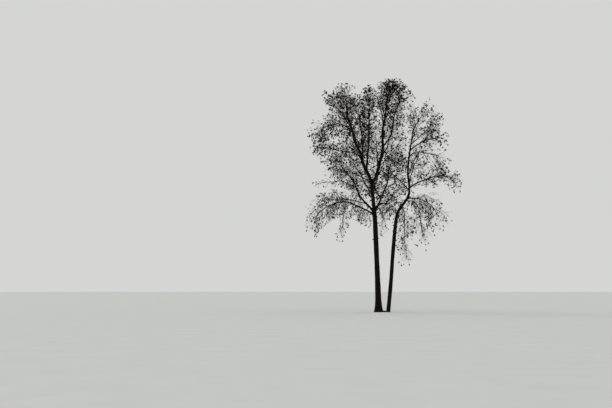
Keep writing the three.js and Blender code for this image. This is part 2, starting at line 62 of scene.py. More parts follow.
# Camera: a 50 mm lens at a standing person's eye height, 65 m away, tilted up a little.
CAMERA_PLACE = (-5.501, -65.0, 1.6)
CAMERA_TILT = 5.84
LENS_MM = 50.0
SENSOR_MM = 36.0

# The studio: a pale floor to the horizon, even light all round, and a soft lamp from the left.
FLOOR_RADIUS = 1400
FLOOR_CORNERS = 96
FURTHEST_SEEN = 3000
ROOM_COLOUR = "#d5d6d3"
LAMP = SimpleNamespace(strength=0.6, spread=50, stands=(-0.8, 0.35, 0.55))

# The stems and limbs, by the same measures as the solids, in metres and degrees. A stem's route is a row of
# places, and its girth a row of heights, each with the radius there.
STEMS = {
    "left_stem": SimpleNamespace(
        route=[
            (0, 0, 0), (-0.03, 0, 1.8), (-0.12, 0.05, 4.7), (-0.21, 0.1, 7.2),
            (-0.34, 0.15, 8.75), (-0.43, 0.2, 10.05),
        ],
        girth=[
            (0, 0.27), (0.5, 0.235), (1.4, 0.212), (4, 0.188),
            (7.3, 0.175), (8.3, 0.14), (9.85, 0.132), (10.05, 0.07),
        ],
        flare=SimpleNamespace(out=0.12, height=0.4, ridges=5, turn=6),
        bark=SimpleNamespace(sides=120, spacing=0.022, seed=1),
    ),
    "right_stem": SimpleNamespace(
        route=[
            (0.75, 0.1, 0), (0.99, 0.1, 2.45), (1.16, 0.1, 4.6), (1.42, 0.1, 7), (1.66, 0.1, 7.8),
            (2.36, 0.1, 8.8), (2.46, 0.1, 9.7), (2.37, 0.1, 10.7), (2.49, 0.1, 12), (2.83, 0.1, 14.1),
        ],
        girth=[
            (0, 0.148), (0.9, 0.147), (2.4, 0.146), (4, 0.144), (5.5, 0.139),
            (7, 0.128), (8.3, 0.106), (9.3, 0.085), (12, 0.068), (14.1, 0.042),
        ],
        flare=SimpleNamespace(out=0.035, height=0.3, ridges=4, turn=35),
        bark=SimpleNamespace(sides=64, spacing=0.024, seed=9),
    ),
}
STEM_STEP = 0.75  # between two stations of a stem
CURVE_STEPS = 40  # between two points of a curve, before its stations are spaced out

# A stem's section is a little oval and turns as it rises, and its girth wavers.
OVAL = SimpleNamespace(share=0.03, turn=0.7)
WAVER = SimpleNamespace(share=0.02, length=0.23)

# A low ridge of wood joins the two feet at the ground.
JOINING_ROOT = SimpleNamespace(
    start=(0.1, 0.02, 0), end=(0.74, 0.1, 0), thick=(0.15, 0.07), steps=40, sides=48
)

# Stubs of lost branches: each one's height, the way it faces, how far it stands out, and its radius.
STUBS = {
    "left_stem": [(5.45, 172, 0.1, 0.045), (5.55, -11, 0.05, 0.05)],
    "right_stem": [(5.4, -6, 0.13, 0.04), (4.65, 11, 0.05, 0.04)],
}
STUB_RISE = 0.35  # its slope
STUB_STEPS = 24
STUB_SIDES = 20
# A stub's width at its foot, where it leaves the stem, where it starts to narrow and at its end.
STUB_WIDTHS = (1.3, 1.2, 0.85, 0.45)
STUB_NARROWS = 0.7  # of the way out from the stem

# The lobes of a section: their depth as a share of its radius, how many, and their turn along the wood.
STUB_LOBES = (0.08, 3, 40)
ROOT_LOBES = (0.1, 2, 9)
LIMB_LOBES = (0.04, 2, 7)


def limb(name, on, at, length, headings, pitches, thick, bare, reach, rise, bough=False):
    """The plan of a limb. It leaves `on` at a height and grows for a length, the way that its headings and
    pitches give. `thick` is its radius, `bare` the share of it without twigs, `reach` how far its twigs stand
    from it, and `rise` how they grow, from -1 where they hang to 1 where they climb."""
    return SimpleNamespace(**locals())


def bough(*plan):
    """The plan of a main bough, whose wood is a solid of its own."""
    return limb(*plan, bough=True)


LIMBS = {
    "left_side": [
        bough("arching_left", "left_stem", 7.4, 5.8, [-160, -158], [38, 0, -68], 0.066, 0.15, 1.2, -1),
        limb("hanging_left", "arching_left", 8.2, 2.7, [-140, -160], [-10, -80, -85], 0.028, 0.1, 0.7, -0.3),
        bough("rising_left", "left_stem", 7.58, 5.4, [156, 153], [40, 66, 30], 0.078, 0.3, 1.1, 0.1),
        limb("upper_arching_left", "rising_left", 8.3, 3.6, [172, 150], [14, 0], 0.034, 0.05, 0.85, 0.1),
        limb("left_spray", "rising_left", 9.6, 3.5, [-135, -180], [23, -19], 0.024, 0.3, 0.5, -0.2),
        limb("side_left", "left_stem", 9.75, 3.9, [-132, -167], [37, -15], 0.045, 0.2, 0.95, -0.4),
    ],
    "left_leader": [
        bough("left_leader", "left_stem", 9.9, 7.2, [-165, -180], [66, 71, 84], 0.13, 0.55, 1.1, 0.3),
        bough("middle_left", "left_leader", 11.9, 3.8, [-138, -170], [10, 4], 0.046, 0.3, 1.1, -0.2),
        limb("far_left", "left_leader", 13.85, 3.2, [140, 175], [46, -34], 0.044, 0.15, 1.1, -0.4),
        limb("upper_left", "left_leader", 14.1, 2.7, [-127, -153], [51, 28], 0.036, 0.15, 1.1, 0.2),
        bough("inner_left", "left_leader", 11.7, 4.9, [78, 121], [60, 77], 0.064, 0.15, 1.1, 0.25),
        bough("middle_leader", "left_leader", 10.85, 5.8, [-72, -94], [71, 88], 0.08, 0.12, 0.8, 0.3),
        limb("upper_back", "left_leader", 12.8, 4.2, [90, 135], [51, 45], 0.04, 0.25, 1.1, 0.2),
    ],
    "right_leader": [
        bough("right_leader", "left_stem", 9.85, 7.65, [-7, 20], [56, 86, 84, 72], 0.132, 0.47, 1.15, 0.3),
        limb("right_leader_fork", "right_leader", 13.2, 3.8, [73, 125], [69, 71], 0.06, 0.2, 0.85, 0.3),
        bough(
            "right_shoulder", "right_leader", 12.7, 4.4, [-52, -20], [28, 72, 78, 55], 0.06, 0.33, 1.05, 0.25
        ),
        limb("inner_right", "right_leader", 10.9, 3.5, [-93, -108], [17, 85], 0.048, 0.25, 0.95, 0.2),
        bough("front_right", "right_leader", 11.5, 4.2, [-77, -73], [20, 60], 0.048, 0.35, 1.2, 0.2),
        limb("between_leaders", "right_leader", 11.2, 2.8, [-25, 10], [38, 58], 0.036, 0.2, 1.0, 0.1),
    ],
    "middle": [
        bough("low_right", "left_stem", 7.62, 4.2, [-40, -60], [66, 52, 76, 84], 0.084, 0.4, 1.0, 0.1),
        limb("low_right_side", "low_right", 8.25, 3.0, [56, 43], [3, 54], 0.034, 0.1, 1.15, -0.3),
        limb("front_inner", "low_right", 8.6, 3.3, [-122, -124], [33, 52], 0.046, 0.15, 1.1, 0),
        bough("back_left", "left_stem", 8.65, 5.3, [105, 140], [39, 61], 0.058, 0.2, 1.3, 0.1),
        bough("back_right", "left_stem", 9.3, 5.2, [66, 55], [39, 61], 0.056, 0.38, 1.3, 0.1),
        bough("front_left", "left_stem", 9.4, 5.1, [-103, -140], [36, 47], 0.054, 0.38, 1.3, 0.1),
    ],
    "right_side": [
        limb("hanging_inner", "right_stem", 8.3, 3.5, [110, 178], [30, -45, -85], 0.03, 0.1, 0.9, -0.3),
        limb("hanging_right", "right_stem", 8.05, 4.6, [-85, -95], [-10, -88, -88], 0.034, 0.08, 0.9, -0.3),
        limb("drooping_right", "right_stem", 8.5, 3.7, [25, 60], [10, -75, -85], 0.034, 0.1, 1.1, -0.3),
        bough("arching_right", "right_stem", 8.68, 3.3, [-45, -8], [12, -35, -62], 0.042, 0.15, 1.2, -0.8),
        bough("long_right", "right_stem", 9.5, 3.95, [11, 2], [44, -20], 0.056, 0.12, 0.95, 0.15),
        limb("middle_right", "right_stem", 11.9, 3.2, [-76, 0], [28, -47], 0.036, 0.2, 1.0, -0.5),
    ],
    "upper_right": [
        bough("upper_right", "right_stem", 12.4, 3.5, [26, 13], [30, 55], 0.046, 0.42, 1.0, 0.15),
        limb("upper_right_inner", "right_stem", 12.9, 2.9, [-25, 10], [30, 62], 0.036, 0.2, 0.9, 0.2),
        limb("upper_right_side", "upper_right", 12.8, 2.2, [-27, -27], [33, -8], 0.026, 0.2, 0.75, 0.1),
        limb("right_top", "right_stem", 14.05, 1.9, [18, 18], [69, 48], 0.042, 0, 0.95, 0.25),
        limb("right_top_front", "right_stem", 13.2, 2.8, [-67, -152], [26, 77], 0.034, 0.15, 0.85, 0.25),
        limb("inner_low", "right_stem", 9.35, 2.7, [165, 190], [38, 50], 0.036, 0.1, 1.2, 0.1),
        limb("inner_back", "right_stem", 11.2, 2.7, [130, 119], [9, 36], 0.034, 0.1, 1.2, 0),
        bough("back_of_right", "right_stem", 9.7, 4.5, [78, 52], [38, 53], 0.046, 0.25, 1.2, 0.1),
        bough("front_of_right", "right_stem", 10.2, 3.8, [-97, -50], [20, 51], 0.046, 0.25, 1.2, 0.1),
    ],
}
LIMB_STEP = 0.62  # between two stations of a limb

# How full of twigs and leaves each limb is, near its foot and near its tip.
BARE, THIN, USUAL, FULL, DENSE = 0.2, 0.65, 1.05, 1.45, 2
FULLNESS = {
    "arching_left": (USUAL, THIN),
    "hanging_left": (USUAL, THIN),
    "rising_left": (FULL, THIN),
    "upper_arching_left": (THIN, USUAL),
    "left_spray": (THIN, USUAL),
    "side_left": (THIN, THIN),
    "left_leader": (USUAL, USUAL),
    "middle_left": (FULL, USUAL),
    "far_left": (FULL, USUAL),
    "upper_left": (USUAL, FULL),
    "inner_left": (FULL, USUAL),
    "middle_leader": (BARE, DENSE),
    "upper_back": (FULL, BARE),
    "right_leader": (BARE, DENSE),
    "right_leader_fork": (FULL, BARE),
    "right_shoulder": (USUAL, FULL),
    "inner_right": (FULL, THIN),
    "front_right": (USUAL, BARE),
    "between_leaders": (BARE, USUAL),
    "low_right": (USUAL, USUAL),
    "low_right_side": (DENSE, THIN),
    "front_inner": (DENSE, BARE),
    "back_left": (THIN, BARE),
    "back_right": (BARE, BARE),
    "front_left": (USUAL, THIN),
    "hanging_inner": (USUAL, THIN),
    "hanging_right": (USUAL, THIN),
    "drooping_right": (THIN, THIN),
    "arching_right": (USUAL, THIN),
    "long_right": (USUAL, USUAL),
    "middle_right": (BARE, USUAL),
    "upper_right": (FULL, THIN),
    "upper_right_inner": (THIN, THIN),
    "upper_right_side": (FULL, USUAL),
    "right_top": (THIN, USUAL),
    "right_top_front": (USUAL, THIN),
    "inner_low": (FULL, BARE),
    "inner_back": (DENSE, BARE),
    "back_of_right": (THIN, THIN),
    "front_of_right": (BARE, BARE),
}
LIMB_SIDES = 4  # of the solid's limb, whose facets the main shoots leave
LIMB_TIP = 0.016  # radius of a limb's last station but one
LIMB_POINT = 0.004  # radius of its very end
TAPER = 0.6  # of a limb, where less than 1 keeps its girth for longer
CROOK = SimpleNamespace(angle=7, length=1.1, oftener=1.3)
COLLAR = SimpleNamespace(swell=0.4, length=2, thicker=1.1)

# Twigs. The main shoots are those of the solids. The finer ones grow between them by the same rule.
# Each kind is tested at shares of its length, and has some bends and sides.
SHOOT = SimpleNamespace(
    radius=0.019,
    thinner=0.5,  # than its limb
    length=(1.12, 1.4),  # as shares of the limb's reach
    lean=(63, 30),  # from the limb, near its foot and near its tip
    tested=(0.35, 0.7, 1),
    bends=5,
    sides=4,
)
FINER_SHOOTS = SimpleNamespace(
    radius=0.017,
    length=(0.5, 1.3),
    spacing=0.12,
    stray=(0.1, 0.9),  # where in its even step along the limb each one starts
    sooner=0.7,  # steps of the limb before the main shoots
)
# Side twigs and twiglets start at a share of what carries them. Their length is a share of its, and varies.
SIDE_TWIGS = SimpleNamespace(
    radius=0.0115,
    thinner=0.7,
    length=(0.66, 0.3),
    vary=(0.6, 1.3),
    lean=48,
    first=0.12,
    spacing=0.1,
    stray=(0.2, 0.9),
    tested=(0.5, 1),
    bends=3,
    sides=3,
)
TWIGLETS = SimpleNamespace(
    radius=0.0065,
    thinner=0.7,
    length=(0.45, 0.24),
    vary=(0.6, 1.4),
    lean=50,
    first=0.1,
    spacing=0.09,
    stray=(0.2, 0.9),
    tested=(1,),
    bends=1,
    sides=3,
)
SHORTEST = 0.3  # of a shoot, as a share of the limb's reach
SHORTENING = 0.85  # of a twig that leaves the limb's space
SHORTEST_TWIG = 0.4  # of a finer twig, as a share of its whole length
LEAST_TWIG = 0.05
TWIG_CLEARANCE = 0.012  # between a twig and a limb that it passes
SPACE_CLEARANCE = 0.03  # between the twigs of two limbs, as a share of their reach
BOX_MARGIN = 0.005  # that twigs keep inside the solids' box
RISE = 1.1
BENDS = (1, 0.6, 0.3)  # shares of the rise, of which a twig takes the largest that leads it away
LEADING_AWAY = 0.3
BOW = 0.18  # how far the middle of a hanging twig stands above the straight line, as a share of its length
ZIGZAG = 0.06
TIP_SHARE = 0.35  # of a twig's radius that is left at its end
ASKEW = (0.31, 0.42, 0.85)  # a way that few twigs grow, which the sides of twigs are measured from
GOLDEN_TURN = math.radians(137.508)
FILLING_STEPS = 50  # in which a limb's fullness is added up along it

# Withered leaves hang on in sprays of a few at the ends of some of the twiglets.
SPRAYS = SimpleNamespace(
    share=0.15,  # of the twiglets of a usual limb
    leaves=3,
    place=(0.55, 0.95),  # along the twiglet, of the leaves that aren't at its tip
    length=(0.115, 0.17),
    width=0.68,
    vary=(0.7, 1.1),  # of the width
    outwards=0.8,
    droop=(0.2, 1.1),
    fold=(10, 50),
    curl=(-0.1, 0.35),
)
# A leaf's corners, in lengths forwards and half widths sideways, and its faces on either side of the midrib.
LEAF_OUTLINE = [(0, 0), (0.52, 0), (1, 0), (0.26, 0.95), (0.68, 0.85), (0.26, -0.95), (0.68, -0.85)]
LEAF_FACES = [(0, 1, 3), (1, 4, 3), (1, 2, 4), (0, 5, 1), (1, 5, 6), (1, 6, 2)]

# The bark's relief: plates of bark between fissures, for the radii of the thinnest and the thickest wood.
BARK = SimpleNamespace(
    radii=(0.03, 0.2),
    plate=(0.012, 0.042),
    depth=(0.0012, 0.0095),
    longer=4.5,  # how many times as long as wide a plate is
    gap=0.38,  # how near to its edge a plate falls away
    steepness=1.5,
    stand_out=0.55,  # of the depth, by which plates stand out
    wander=(0.7, 0.45),  # how far the fissures wander, and how often
    grain=(0.25, 3.1),  # how rough a plate is, and how finely
    uneven=0.3,  # how much plates differ in height
)
LEAST_RADIUS = 0.3  # that relief leaves of a limb's radius
WANDER_SEED = 1  # from which the fissures wander the same way in each run
SEED_STEPS = (7.3, 3.1, 1.7)  # from the bark of one seed to that of the next
LIMB_SEEDS = 20  # after which the seeds of the limbs' bark start
# The meshes of the wood: stations this far apart, and sides round it, for the thinnest and the thickest limb.
LIMB_MESH = SimpleNamespace(thick=(0.024, 0.1), spacing=(0.05, 0.024), sides=(12, 36))


# Lines


def spread(values, share):
    """The value at a share from 0 to 1 of a row of values that are spread evenly."""
    return np.interp(share, np.linspace(0, 1, len(values)), values)


def between(table, x):
    """The value at x of a table of pairs in rising order."""
    places, values = zip(*table)
    return np.interp(x, places, values)


def unit(vectors):
    return vectors / np.linalg.norm(vectors, axis=-1, keepdims=True)


def chance(limb_number, shoot, twig, use):
    """A number from 0 to 1 that depends only on the whole numbers given, as in the solids."""
    wave = np.sin(limb_number * 127.1 + shoot * 311.7 + twig * 74.7 + use * 19.19) * 43758.5453
    return wave - np.floor(wave)


def smooth_places(points, spacing):
    """Evenly spaced places along the smooth curve through some points."""
    points = np.array(points, float)
    padded = np.vstack([2 * points[0] - points[1], points, 2 * points[-1] - points[-2]])
    start, end = padded[1:-2, None], padded[2:-1, None]
    leaving = (padded[2:-1] - padded[:-3])[:, None] / 2
    arriving = (padded[3:] - padded[1:-2])[:, None] / 2
    t = np.linspace(0, 1, CURVE_STEPS, endpoint=False)[None, :, None]
    cubic = 2 * (start - end) + leaving + arriving
    square = 3 * (end - start) - 2 * leaving - arriving
    fine = np.vstack([(((cubic * t + square) * t + leaving) * t + start).reshape(-1, 3), points[-1:]])
    reached = np.concatenate([[0], np.cumsum(np.linalg.norm(np.diff(fine, axis=0), axis=1))])
    steps = np.linspace(0, reached[-1], round(reached[-1] / spacing) + 1)
    return np.stack([np.interp(steps, reached, fine[:, axis]) for axis in range(3)], axis=1)


class Line:
    """A centre line through evenly spaced stations, with sides to it that turn no more than it does."""

    def __init__(self, places, level_foot=False):
        self.places = np.array(places, float)
        self.last = len(self.places) - 1
        behind = self.places[np.maximum(np.arange(self.last + 1) - 1, 0)]
        ahead = self.places[np.minimum(np.arange(self.last + 1) + 1, self.last)]
        self.directions = unit(ahead - behind)
        if level_foot:
            self.directions[0] = (0, 0, 1)
        self.sides = np.empty_like(self.places)
        side = np.array([1.0, 0, 0])
        for i, direction in enumerate(self.directions):
            side = unit(side - direction * (side @ direction))
            self.sides[i] = side
        self.others = np.cross(self.directions, self.sides)

    def at(self, share):
        """Places, directions, sides and the sides square to them, at shares of the line."""
        along = np.clip(share, 0, 1) * self.last
        i = np.minimum(along.astype(int), self.last - 1)
        t = (along - i)[:, None]
        rows = (self.places, self.directions, self.sides)
        place, direction, side = (row[i] * (1 - t) + row[i + 1] * t for row in rows)
        direction, side = unit(direction), unit(side)
        return place, direction, side, np.cross(direction, side)

    def share_at_height(self, height):
        heights = self.places[:, 2]
        i = next((i for i in range(self.last) if height <= heights[i + 1]), None)
        if i is None:
            return 1.0
        return (i + max(0.0, (height - heights[i]) / (heights[i + 1] - heights[i]))) / self.last

    def nearest(self, points, first=0):
        """The least distance from each point to the line from one of its stations on, and the share there."""
        least = np.full(len(points), np.inf)
        share = np.zeros(len(points))
        for i in range(first, self.last):
            start, step = self.places[i], self.places[i + 1] - self.places[i]
            offset = points - start
            t = np.clip(offset @ step / (step @ step), 0, 1)
            distance = np.linalg.norm(offset - t[:, None] * step, axis=1)
            nearer = distance < least
            least[nearer] = distance[nearer]
            share[nearer] = (i + t[nearer]) / self.last
        return least, share


# Stems and limbs


def stem_radius(stem, height, angle):
    """A stem's radius at a height and towards an angle: root ridges swell it near the ground."""
    foot = np.exp(-height / stem.flare.height)
    ridge = 0.5 + 0.5 * np.cos(stem.flare.ridges * (angle - math.radians(stem.flare.turn)))
    oval = OVAL.share * np.sin(2 * angle + height / OVAL.turn)
    waver = WAVER.share * np.sin(height / WAVER.length)
    return between(stem.girth, height) * (1 + oval + waver) + stem.flare.out * foot * ridge


def grow_stem(name):
    stem = STEMS[name]
    line = Line(smooth_places(stem.route, STEM_STEP), level_foot=True)

    def radius_at(share):
        return between(stem.girth, line.at(share)[0][:, 2])

    return SimpleNamespace(name=name, line=line, radius_at=radius_at)


def grow_limb(plan, carrier, number):
    steps = round(plan.length / LIMB_STEP)
    share = np.array([carrier.line.share_at_height(plan.at)])
    along = (np.arange(steps) + 0.5) / steps
    swing = 2 * math.pi * along * plan.length / CROOK.length + number
    heading = np.radians(spread(plan.headings, along) + CROOK.angle * np.sin(swing))
    pitch = np.radians(spread(plan.pitches, along) + CROOK.angle * np.cos(CROOK.oftener * swing))
    step = np.stack([np.cos(pitch) * np.cos(heading), np.cos(pitch) * np.sin(heading), np.sin(pitch)], axis=1)
    start = carrier.line.at(share)[0]
    plan.number = number
    plan.line = Line(np.vstack([start, start + np.cumsum(step * plan.length / steps, axis=0)]))
    plan.first_twigged = math.floor(plan.bare * steps + 0.5)
    buried = carrier.radius_at(share)[0]
    plan.radius_at = lambda share: limb_radius(plan, share, buried)
    return plan


def limb_radius(plan, share, buried):
    """A limb's radius, with the collar where it leaves what carries it."""
    outside = np.maximum(0, share * plan.length - buried)
    swell = COLLAR.swell if buried > COLLAR.thicker * plan.thick else 0
    collar = swell * np.exp(-outside / (COLLAR.length * plan.thick))
    taper = LIMB_TIP + (plan.thick - LIMB_TIP) * (1 - share) ** TAPER
    last_step = np.clip((1 - share) * plan.length / LIMB_STEP, 0, 1)
    return np.minimum(taper, LIMB_POINT + (taper - LIMB_POINT) * last_step) + plan.thick * collar


def near_enough(one, other):
    """Whether the twigs of two limbs could meet."""
    apart = np.linalg.norm(one.line.places[:, None] - other.line.places[None], axis=2).min()
    return apart < one.reach + other.reach + 2 * LIMB_STEP


stems = [grow_stem(name) for name in STEMS]
limbs = []
for plan in (plan for group in LIMBS.values() for plan in group):
    carrier = next(one for one in stems + limbs if one.name == plan.on)
    limbs.append(grow_limb(plan, carrier, len(limbs) + 1))
for one in limbs:
    one.neighbours = [other for other in limbs if other is not one and near_enough(one, other)]


# Bark

noise.seed_set(WANDER_SEED)


def bark_relief(angles, radii, lengths, seed):
    """How far the bark of a limb stands out, ring by ring, and how deep in a fissure each of its points lies,
    from 0 on a plate to 1 in a fissure."""
    size = np.interp(radii, BARK.radii, BARK.plate)
    depth = np.interp(radii, BARK.radii, BARK.depth)
    fissure = np.zeros((len(radii), len(angles)))
    relief = np.zeros_like(fissure)
    offset = Vector([step * seed for step in SEED_STEPS])
    wander, often = BARK.wander
    rough, fine = BARK.grain
    turns = [(math.cos(angle), math.sin(angle)) for angle in angles]
    for i, (radius, length) in enumerate(zip(radii, lengths)):
        for k, (across, deep) in enumerate(turns):
            spot = Vector((radius * across, radius * deep, length / BARK.longer)) / size[i] + offset
            bent = spot + wander * noise.noise_vector(often * spot)
            (first, second, *_), (cell, *_) = noise.voronoi(bent)
            fissure[i, k] = 1 - min(1, (second - first) / BARK.gap)
            grain = rough * noise.noise(fine * spot) + BARK.uneven * noise.noise(cell)
            relief[i, k] = depth[i] * (BARK.stand_out + grain - fissure[i, k] ** BARK.steepness)
    return relief, fissure


def tube_faces(rings, sides):
    """The four-sided faces between rings of corners that are numbered ring by ring."""
    ring, side = np.meshgrid(np.arange(rings - 1), np.arange(sides), indexing="ij")
    low = ring * sides + side
    beside = ring * sides + (side + 1) % sides
    return np.stack([low, beside, beside + sides, low + sides], axis=-1).reshape(-1, 4)


def barked(line, radius_towards, sides, seed):
    """Corners, faces and fissures of a length of wood with its bark, whose bare radius at a share of the line
    and towards an angle is given."""
    shares = np.linspace(0, 1, line.last + 1)
    angles = np.arange(sides) * 2 * math.pi / sides
    bare = radius_towards(shares[:, None], angles[None, :])
    spacing = np.linalg.norm(np.diff(line.places, axis=0), axis=1)
    lengths = np.concatenate([[0], np.cumsum(spacing)])
    relief, fissure = bark_relief(angles, bare.mean(axis=1), lengths, seed)
    radius = np.maximum(bare + relief, LEAST_RADIUS * bare)[..., None]
    across = radius * np.cos(angles)[None, :, None] * line.sides[:, None]
    deep = radius * np.sin(angles)[None, :, None] * line.others[:, None]
    corners = (line.places[:, None] + across + deep).reshape(-1, 3)
    rings = line.last + 1
    ends = [np.arange(sides)[None, ::-1], (rings - 1) * sides + np.arange(sides)[None]]
    return corners, [tube_faces(rings, sides), *ends], fissure.ravel()


def joined(parts):
    """Several lots of corners, faces and values as one."""
    corners, faces, values = [], [], []
    for some_corners, some_faces, some_values in parts:
        count = sum(len(lot) for lot in corners)
        corners.append(some_corners)
        faces += [lot + count for lot in some_faces]
        values.append(some_values)
    return np.vstack(corners), faces, np.concatenate(values)


def uneven(lobes, shares, angles):
    """What the lobes of a section make of its radius, at shares of the wood and towards angles."""
    depth, count, twist = lobes
    return 1 + depth * np.sin(count * angles + twist * shares)


def stem_wood(stem):
    shape = STEMS[stem.name]
    seed = shape.bark.seed
    line = Line(smooth_places(shape.route, shape.bark.spacing), level_foot=True)
    steps = np.linspace(0, 1, line.last + 1)

    def radius(shares, angles):
        return stem_radius(shape, np.interp(shares, steps, line.places[:, 2]), angles)

    parts = [barked(line, radius, shape.bark.sides, seed)]
    for number, stub in enumerate(STUBS[stem.name]):
        parts.append(stub_wood(stem, *stub, seed + number + 1))
    if stem is stems[0]:
        parts.append(joining_root_wood(seed))
    return joined(parts)


def stub_wood(stem, height, faces, out, thick, seed):
    """The snag of a lost branch, with a swollen collar and a broken end."""
    start = stem.line.at(np.array([stem.line.share_at_height(height)]))[0][0]
    girth = between(STEMS[stem.name].girth, height)
    turn = math.radians(faces)
    way = unit(np.array([math.cos(turn), math.sin(turn), STUB_RISE]))
    length = girth + out
    line = Line([start + way * step for step in np.linspace(0, length, STUB_STEPS)])
    rings = [0, girth / length, (girth + STUB_NARROWS * out) / length, 1]

    def radius(shares, angles):
        return np.interp(shares, rings, STUB_WIDTHS) * thick * uneven(STUB_LOBES, shares, angles)

    return barked(line, radius, STUB_SIDES, seed)


def joining_root_wood(seed):
    """The ridge between the two feet, whose lower half is pressed flat at the ground."""
    root = JOINING_ROOT
    start, end = np.array(root.start), np.array(root.end)
    line = Line([start + (end - start) * step for step in np.linspace(0, 1, root.steps)])

    def radius(shares, angles):
        return spread(root.thick, shares) * uneven(ROOT_LOBES, shares, angles)

    corners, faces, fissure = barked(line, radius, root.sides, seed)
    corners[:, 2] = np.maximum(corners[:, 2], 0)
    return corners, faces, fissure


def limb_wood(limb):
    """A limb from its foot inside what carries it to its tip."""
    spacing = np.interp(limb.thick, LIMB_MESH.thick, LIMB_MESH.spacing)
    sides = int(np.interp(limb.thick, LIMB_MESH.thick, LIMB_MESH.sides))
    line = Line(smooth_places(limb.line.places, spacing))

    def radius(shares, angles):
        return limb.radius_at(shares) * uneven(LIMB_LOBES, shares, angles)

    return barked(line, radius, sides, LIMB_SEEDS + limb.number)


# Twigs


def in_own_space(limb, points):
    """Whether each point lies in a limb's own space: within its reach, nearer to it than to the twigs of any
    other limb as a share of their reaches, clear of every other limb and stem, and inside the solids' box."""
    own = limb.line.nearest(points, limb.first_twigged)[0] / limb.reach
    free = (own <= 1) & ((points > SOLID_LOW) & (points < SOLID_HIGH)).all(axis=1)
    for other in limb.neighbours:
        theirs = other.line.nearest(points, other.first_twigged)[0] / other.reach
        free &= theirs >= own + SPACE_CLEARANCE
    for wood in limb.neighbours + stems:
        distance, share = wood.line.nearest(points)
        free &= distance > wood.radius_at(share) + TWIG_CLEARANCE
    return free


def heading_from(outwards, along, lean, rise):
    """The way that twigs grow: they lean out from what carries them, and hang or rise with their limb."""
    level = along * np.cos(lean)[:, None] + outwards * np.sin(lean)[:, None]
    heading = level.copy()
    open_still = np.ones(len(level), bool)
    for bend in BENDS:
        bent = unit(level + np.array([0, 0, 1]) * bend * RISE * rise)
        fits = open_still & ((bent * outwards).sum(axis=1) > LEADING_AWAY)
        heading[fits] = bent[fits]
        open_still &= ~fits
    return heading


def solid_rings(limb):
    """The corners of the solid's limb, ring by ring."""
    turns = np.arange(LIMB_SIDES) * 2 * math.pi / LIMB_SIDES
    across = np.cos(turns)[None, :, None] * limb.line.sides[:-1, None]
    deep = np.sin(turns)[None, :, None] * limb.line.others[:-1, None]
    radii = limb.radius_at(np.arange(limb.line.last) / limb.line.last)[:, None, None]
    return limb.line.places[:-1, None] + radii * (across + deep)


def solid_face(limb, rings, step, facet, half):
    """The corners of one of the two faces on a facet of a step of the solid's limb, or nothing where the limb
    ends in a point."""
    beside = (facet + 1) % LIMB_SIDES
    low = rings[step]
    if step == limb.line.last - 1:
        return None if half else [low[facet], low[beside], limb.line.places[-1]]
    high = rings[step + 1]
    return [low[facet], high[beside], high[facet]] if half else [low[facet], low[beside], high[beside]]


def main_shoot_spots(limb):
    """Two spots on each step of a limb, each in the middle of a face of the solid's limb."""
    rings = solid_rings(limb)
    count = 2 * (limb.line.last - limb.first_twigged)
    spots = []
    for k in range(count):
        half, step = k % 2, limb.first_twigged + k // 2
        facet = (3 * k + k // 4 + limb.number) % LIMB_SIDES
        face = solid_face(limb, rings, step, facet, half)
        if not face:
            continue
        first, second, third = face
        outwards = unit(np.cross(second - first, third - first))
        share = (step + (1 + half) / 3) / limb.line.last
        length = spread(SHOOT.length, chance(limb.number, k, 0, 1))
        spots.append((np.mean(face, axis=0), outwards, share, (k + 1) / count, length))
    place, outwards, share, outer, length = (np.array(column) for column in zip(*spots))
    radius = np.minimum(SHOOT.radius, SHOOT.thinner * limb.radius_at(share))
    return spots_on(limb, share, place, outwards, outer, length, radius)


def finer_shoot_spots(limb, rng):
    """Spots between the main shoots, turning round the limb from one to the next."""
    start = max(0, limb.first_twigged - FINER_SHOOTS.sooner) / limb.line.last
    full = FULLNESS[limb.name]
    count = max(1, round((1 - start) * limb.length / FINER_SHOOTS.spacing * np.mean(full)))
    even = (np.arange(count) + rng.uniform(*FINER_SHOOTS.stray, count)) / count
    steps = np.linspace(0, 1, FILLING_STEPS)
    filled = np.cumsum(spread(full, steps))
    outer = np.interp(even * filled[-1], filled, steps)
    share = start + (1 - start) * outer
    place, _, side, other = limb.line.at(share)
    turn = (np.arange(count) * GOLDEN_TURN + limb.number)[:, None]
    outwards = side * np.cos(turn) + other * np.sin(turn)
    radius = np.minimum(FINER_SHOOTS.radius, SHOOT.thinner * limb.radius_at(share))
    return spots_on(limb, share, place, outwards, outer, rng.uniform(*FINER_SHOOTS.length, count), radius)


def spots_on(limb, share, place, outwards, outer, length, radius):
    """What a shoot needs to know of the spot where it leaves its limb."""
    return dict(
        outer=outer,
        place=place,
        along=limb.line.at(share)[1],
        outwards=outwards,
        lean=np.radians(spread(SHOOT.lean, outer)),
        length=length * limb.reach,
        least=np.full(len(share), SHORTEST * limb.reach),
        radius=radius,
    )


def grown(limb, spots, kind, rng):
    """The twigs that grow from some spots, each shortened until it stays in its limb's space, or left out."""
    heading = heading_from(spots["outwards"], spots["along"], spots["lean"], limb.rise)
    length = spots["length"].copy()
    settled = np.zeros(len(length), bool)
    while (trying := ~settled & (length > spots["least"])).any():
        reach = (length[trying, None] * np.array(kind.tested))[..., None]
        points = spots["place"][trying, None] + heading[trying, None] * reach
        fits = in_own_space(limb, points.reshape(-1, 3)).reshape(-1, len(kind.tested)).all(axis=1)
        settled[np.flatnonzero(trying)[fits]] = True
        length[np.flatnonzero(trying)[~fits]] *= SHORTENING
    twigs = {name: values[settled] for name, values in spots.items()}
    twigs.update(heading=heading[settled], length=length[settled])
    twigs["points"] = bowed(twigs, -BOW * limb.rise, kind.bends, rng)
    return twigs


